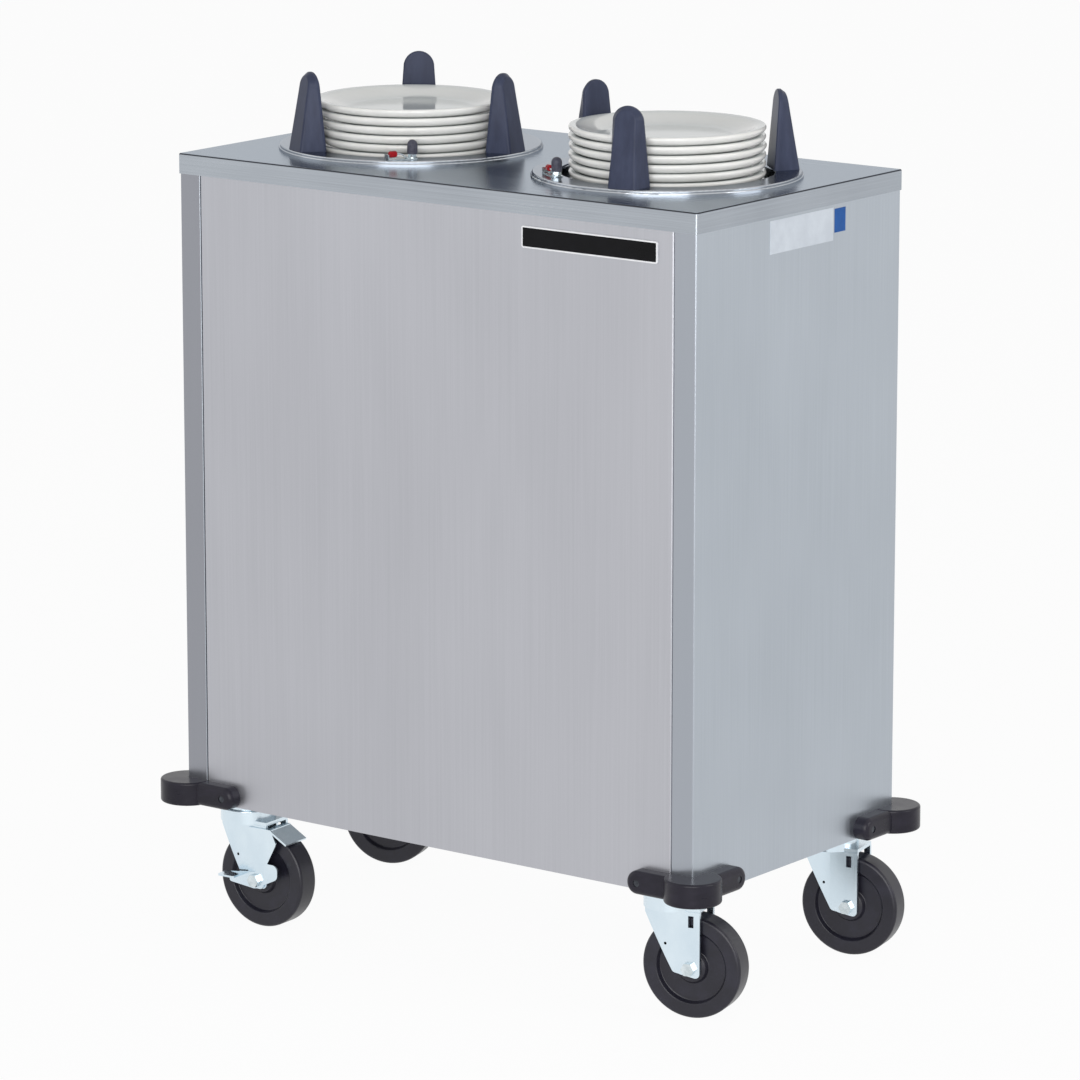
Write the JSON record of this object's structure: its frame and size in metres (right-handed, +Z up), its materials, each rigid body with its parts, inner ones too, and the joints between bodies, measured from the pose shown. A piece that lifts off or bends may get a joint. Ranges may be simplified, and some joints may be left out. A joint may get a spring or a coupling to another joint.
{
  "type": "plate dispenser cart",
  "caption": "Two-silo self-levelling plate dispenser on four swivel casters: stainless cabinet, drop-in rings with plate guides, spring-hung carriers and plates.",
  "frame": {"origin": "on the floor under the middle of the cabinet", "axes": "+X along the length to the right seen from the front, -Y to the front, +Z up"},
  "size_m": [0.857, 0.497, 1.0885],
  "materials": {
    "brushed_panel": "vertical brushed stainless sheet",
    "brushed_sides": "brushed stainless sheet",
    "brushed_top": "brushed stainless sheet",
    "plain_sheet": "mill-finish stainless sheet",
    "spun_ring": "spun and polished stainless",
    "spring_wire": "drawn spring wire",
    "fasteners": "plated steel",
    "bumper_rubber": "smooth moulded rubber",
    "guide_plastic": "glossy moulded thermoplastic",
    "knob_rubber": "moulded rubber",
    "lever_steel": "bright stainless",
    "red_vinyl": "dipped vinyl",
    "badge_black": "gloss enamel plate, blank",
    "label_white": "blank printed film",
    "sticker_blue": "blank film",
    "plate_china": "glazed china",
    "caster_zinc": "bright zinc plate on pressed steel",
    "axle_steel": "zinc-plated steel",
    "wheel_rubber": "solid hard rubber"
  },
  "bodies": {
    "cabinet": {"front_panel": "brushed_panel", "back_panel": "brushed_panel", "left_side_panel": "brushed_sides", "right_side_panel": "brushed_sides", "top_cap": "brushed_top", "base_pan": "plain_sheet", "base_channels": "plain_sheet", "panel_rivets": "fasteners", "bumper_screws": "fasteners", "caster_bolts": "fasteners", "front_left_bumper": "bumper_rubber", "front_right_bumper": "bumper_rubber", "back_left_bumper": "bumper_rubber", "back_right_bumper": "bumper_rubber", "badge_plate": "badge_black", "rating_label": "label_white", "inspection_sticker": "sticker_blue", "left_flange_ring": "spun_ring", "right_flange_ring": "spun_ring", "left_silo_tube": "plain_sheet", "right_silo_tube": "plain_sheet", "guide_screws": "fasteners", "lock_studs": "fasteners", "lock_caps": "knob_rubber", "left_springs": "spring_wire", "right_springs": "spring_wire", "left_silo_front_guide": "guide_plastic", "left_silo_right_guide": "guide_plastic", "left_silo_back_guide": "guide_plastic", "right_silo_front_guide": "guide_plastic", "right_silo_right_guide": "guide_plastic", "right_silo_left_guide": "guide_plastic", "front_left_caster_mount": "caster_zinc", "front_right_caster_mount": "caster_zinc", "back_right_caster_mount": "caster_zinc", "back_left_caster_mount": "caster_zinc"},
    "left_carrier": {"left_carrier": "plain_sheet"},
    "left_plates": {"left_plates": "plate_china"},
    "left_lock_lever": {"left_lock_lever": "lever_steel", "left_lever_tip": "red_vinyl"},
    "right_carrier": {"right_carrier": "plain_sheet"},
    "right_plates": {"right_plates": "plate_china"},
    "right_lock_lever": {"right_lock_lever": "lever_steel", "right_lever_tip": "red_vinyl"},
    "front_left_caster": {"front_left_caster_fork": "caster_zinc", "front_left_axle": "axle_steel"},
    "front_left_wheel": {"front_left_wheel": "wheel_rubber"},
    "front_left_brake_lever": {"front_left_brake_lever": "caster_zinc"},
    "front_left_brake_shoe": {"front_left_brake_shoe": "caster_zinc"},
    "front_right_caster": {"front_right_caster_fork": "caster_zinc", "front_right_axle": "axle_steel"},
    "front_right_wheel": {"front_right_wheel": "wheel_rubber"},
    "back_right_caster": {"back_right_caster_fork": "caster_zinc", "back_right_axle": "axle_steel"},
    "back_right_wheel": {"back_right_wheel": "wheel_rubber"},
    "back_left_caster": {"back_left_caster_fork": "caster_zinc", "back_left_axle": "axle_steel"},
    "back_left_wheel": {"back_left_wheel": "wheel_rubber"},
    "back_left_brake_lever": {"back_left_brake_lever": "caster_zinc"},
    "back_left_brake_shoe": {"back_left_brake_shoe": "caster_zinc"}
  },
  "joints": [
    {"name": "left_carrier_slide", "type": "slide", "parent": "cabinet", "child": "left_carrier", "axis": [0, 0, 1], "range_m": [-0.4815, 0.0515], "stiffness_N_per_m": 520.3, "springref_m": 0.1549, "deforming": ["left_springs"]},
    {"name": "left_plates_lift", "type": "slide", "parent": "left_carrier", "child": "left_plates", "axis": [0, 0, 1], "range_m": [0, 0.3]},
    {"name": "left_lock_lever_turn", "type": "hinge", "parent": "cabinet", "child": "left_lock_lever", "pos_m": [-0.10764, -0.11035, 0.99325], "axis": [0, 0, 1], "range_deg": [-25, 25]},
    {"name": "right_carrier_slide", "type": "slide", "parent": "cabinet", "child": "right_carrier", "axis": [0, 0, 1], "range_m": [-0.5035, 0.0295], "stiffness_N_per_m": 520.3, "springref_m": 0.1329, "deforming": ["right_springs"]},
    {"name": "right_plates_lift", "type": "slide", "parent": "right_carrier", "child": "right_plates", "axis": [0, 0, 1], "range_m": [0, 0.3]},
    {"name": "right_lock_lever_turn", "type": "hinge", "parent": "cabinet", "child": "right_lock_lever", "pos_m": [0.11966, -0.11909, 0.99325], "axis": [0, 0, 1], "range_deg": [-25, 25]},
    {"name": "front_left_swivel", "type": "hinge", "parent": "cabinet", "child": "front_left_caster", "pos_m": [-0.332, -0.169, 0.1515], "axis": [0, 0, 1], "continuous": true},
    {"name": "front_left_wheel_spin", "type": "hinge", "parent": "front_left_caster", "child": "front_left_wheel", "pos_m": [-0.30104, -0.16738, 0.0635], "axis": [-0.0523, 0.9986, 0], "continuous": true},
    {"name": "front_left_brake_pedal", "type": "hinge", "parent": "front_left_caster", "child": "front_left_brake_lever", "pos_m": [-0.30104, -0.16738, 0.0635], "axis": [0.0523, -0.9986, 0], "range_deg": [0, 34]},
    {"name": "front_left_brake_press", "type": "slide", "parent": "front_left_caster", "child": "front_left_brake_shoe", "axis": [0, 0, -1], "range_m": [0, 0.003]},
    {"name": "front_right_swivel", "type": "hinge", "parent": "cabinet", "child": "front_right_caster", "pos_m": [0.332, -0.169, 0.1515], "axis": [0, 0, 1], "continuous": true},
    {"name": "front_right_wheel_spin", "type": "hinge", "parent": "front_right_caster", "child": "front_right_wheel", "pos_m": [0.3622, -0.16203, 0.0635], "axis": [-0.225, 0.9744, 0], "continuous": true},
    {"name": "back_right_swivel", "type": "hinge", "parent": "cabinet", "child": "back_right_caster", "pos_m": [0.332, 0.169, 0.1515], "axis": [0, 0, 1], "continuous": true},
    {"name": "back_right_wheel_spin", "type": "hinge", "parent": "back_right_caster", "child": "back_right_wheel", "pos_m": [0.36232, 0.17544, 0.0635], "axis": [-0.2079, 0.9781, 0], "continuous": true},
    {"name": "back_left_swivel", "type": "hinge", "parent": "cabinet", "child": "back_left_caster", "pos_m": [-0.332, 0.169, 0.1515], "axis": [0, 0, 1], "continuous": true},
    {"name": "back_left_wheel_spin", "type": "hinge", "parent": "back_left_caster", "child": "back_left_wheel", "pos_m": [-0.36194, 0.16098, 0.0635], "axis": [0.2588, -0.9659, 0], "continuous": true},
    {"name": "back_left_brake_pedal", "type": "hinge", "parent": "back_left_caster", "child": "back_left_brake_lever", "pos_m": [-0.36194, 0.16098, 0.0635], "axis": [-0.2588, 0.9659, 0], "range_deg": [0, 34]},
    {"name": "back_left_brake_press", "type": "slide", "parent": "back_left_caster", "child": "back_left_brake_shoe", "axis": [0, 0, -1], "range_m": [0, 0.003]}
  ],
  "couplings": [
    {"joint": "front_left_brake_pedal", "follows": "front_left_brake_press", "rad_per_m": 197.8},
    {"joint": "back_left_brake_pedal", "follows": "back_left_brake_press", "rad_per_m": 197.8}
  ]
}
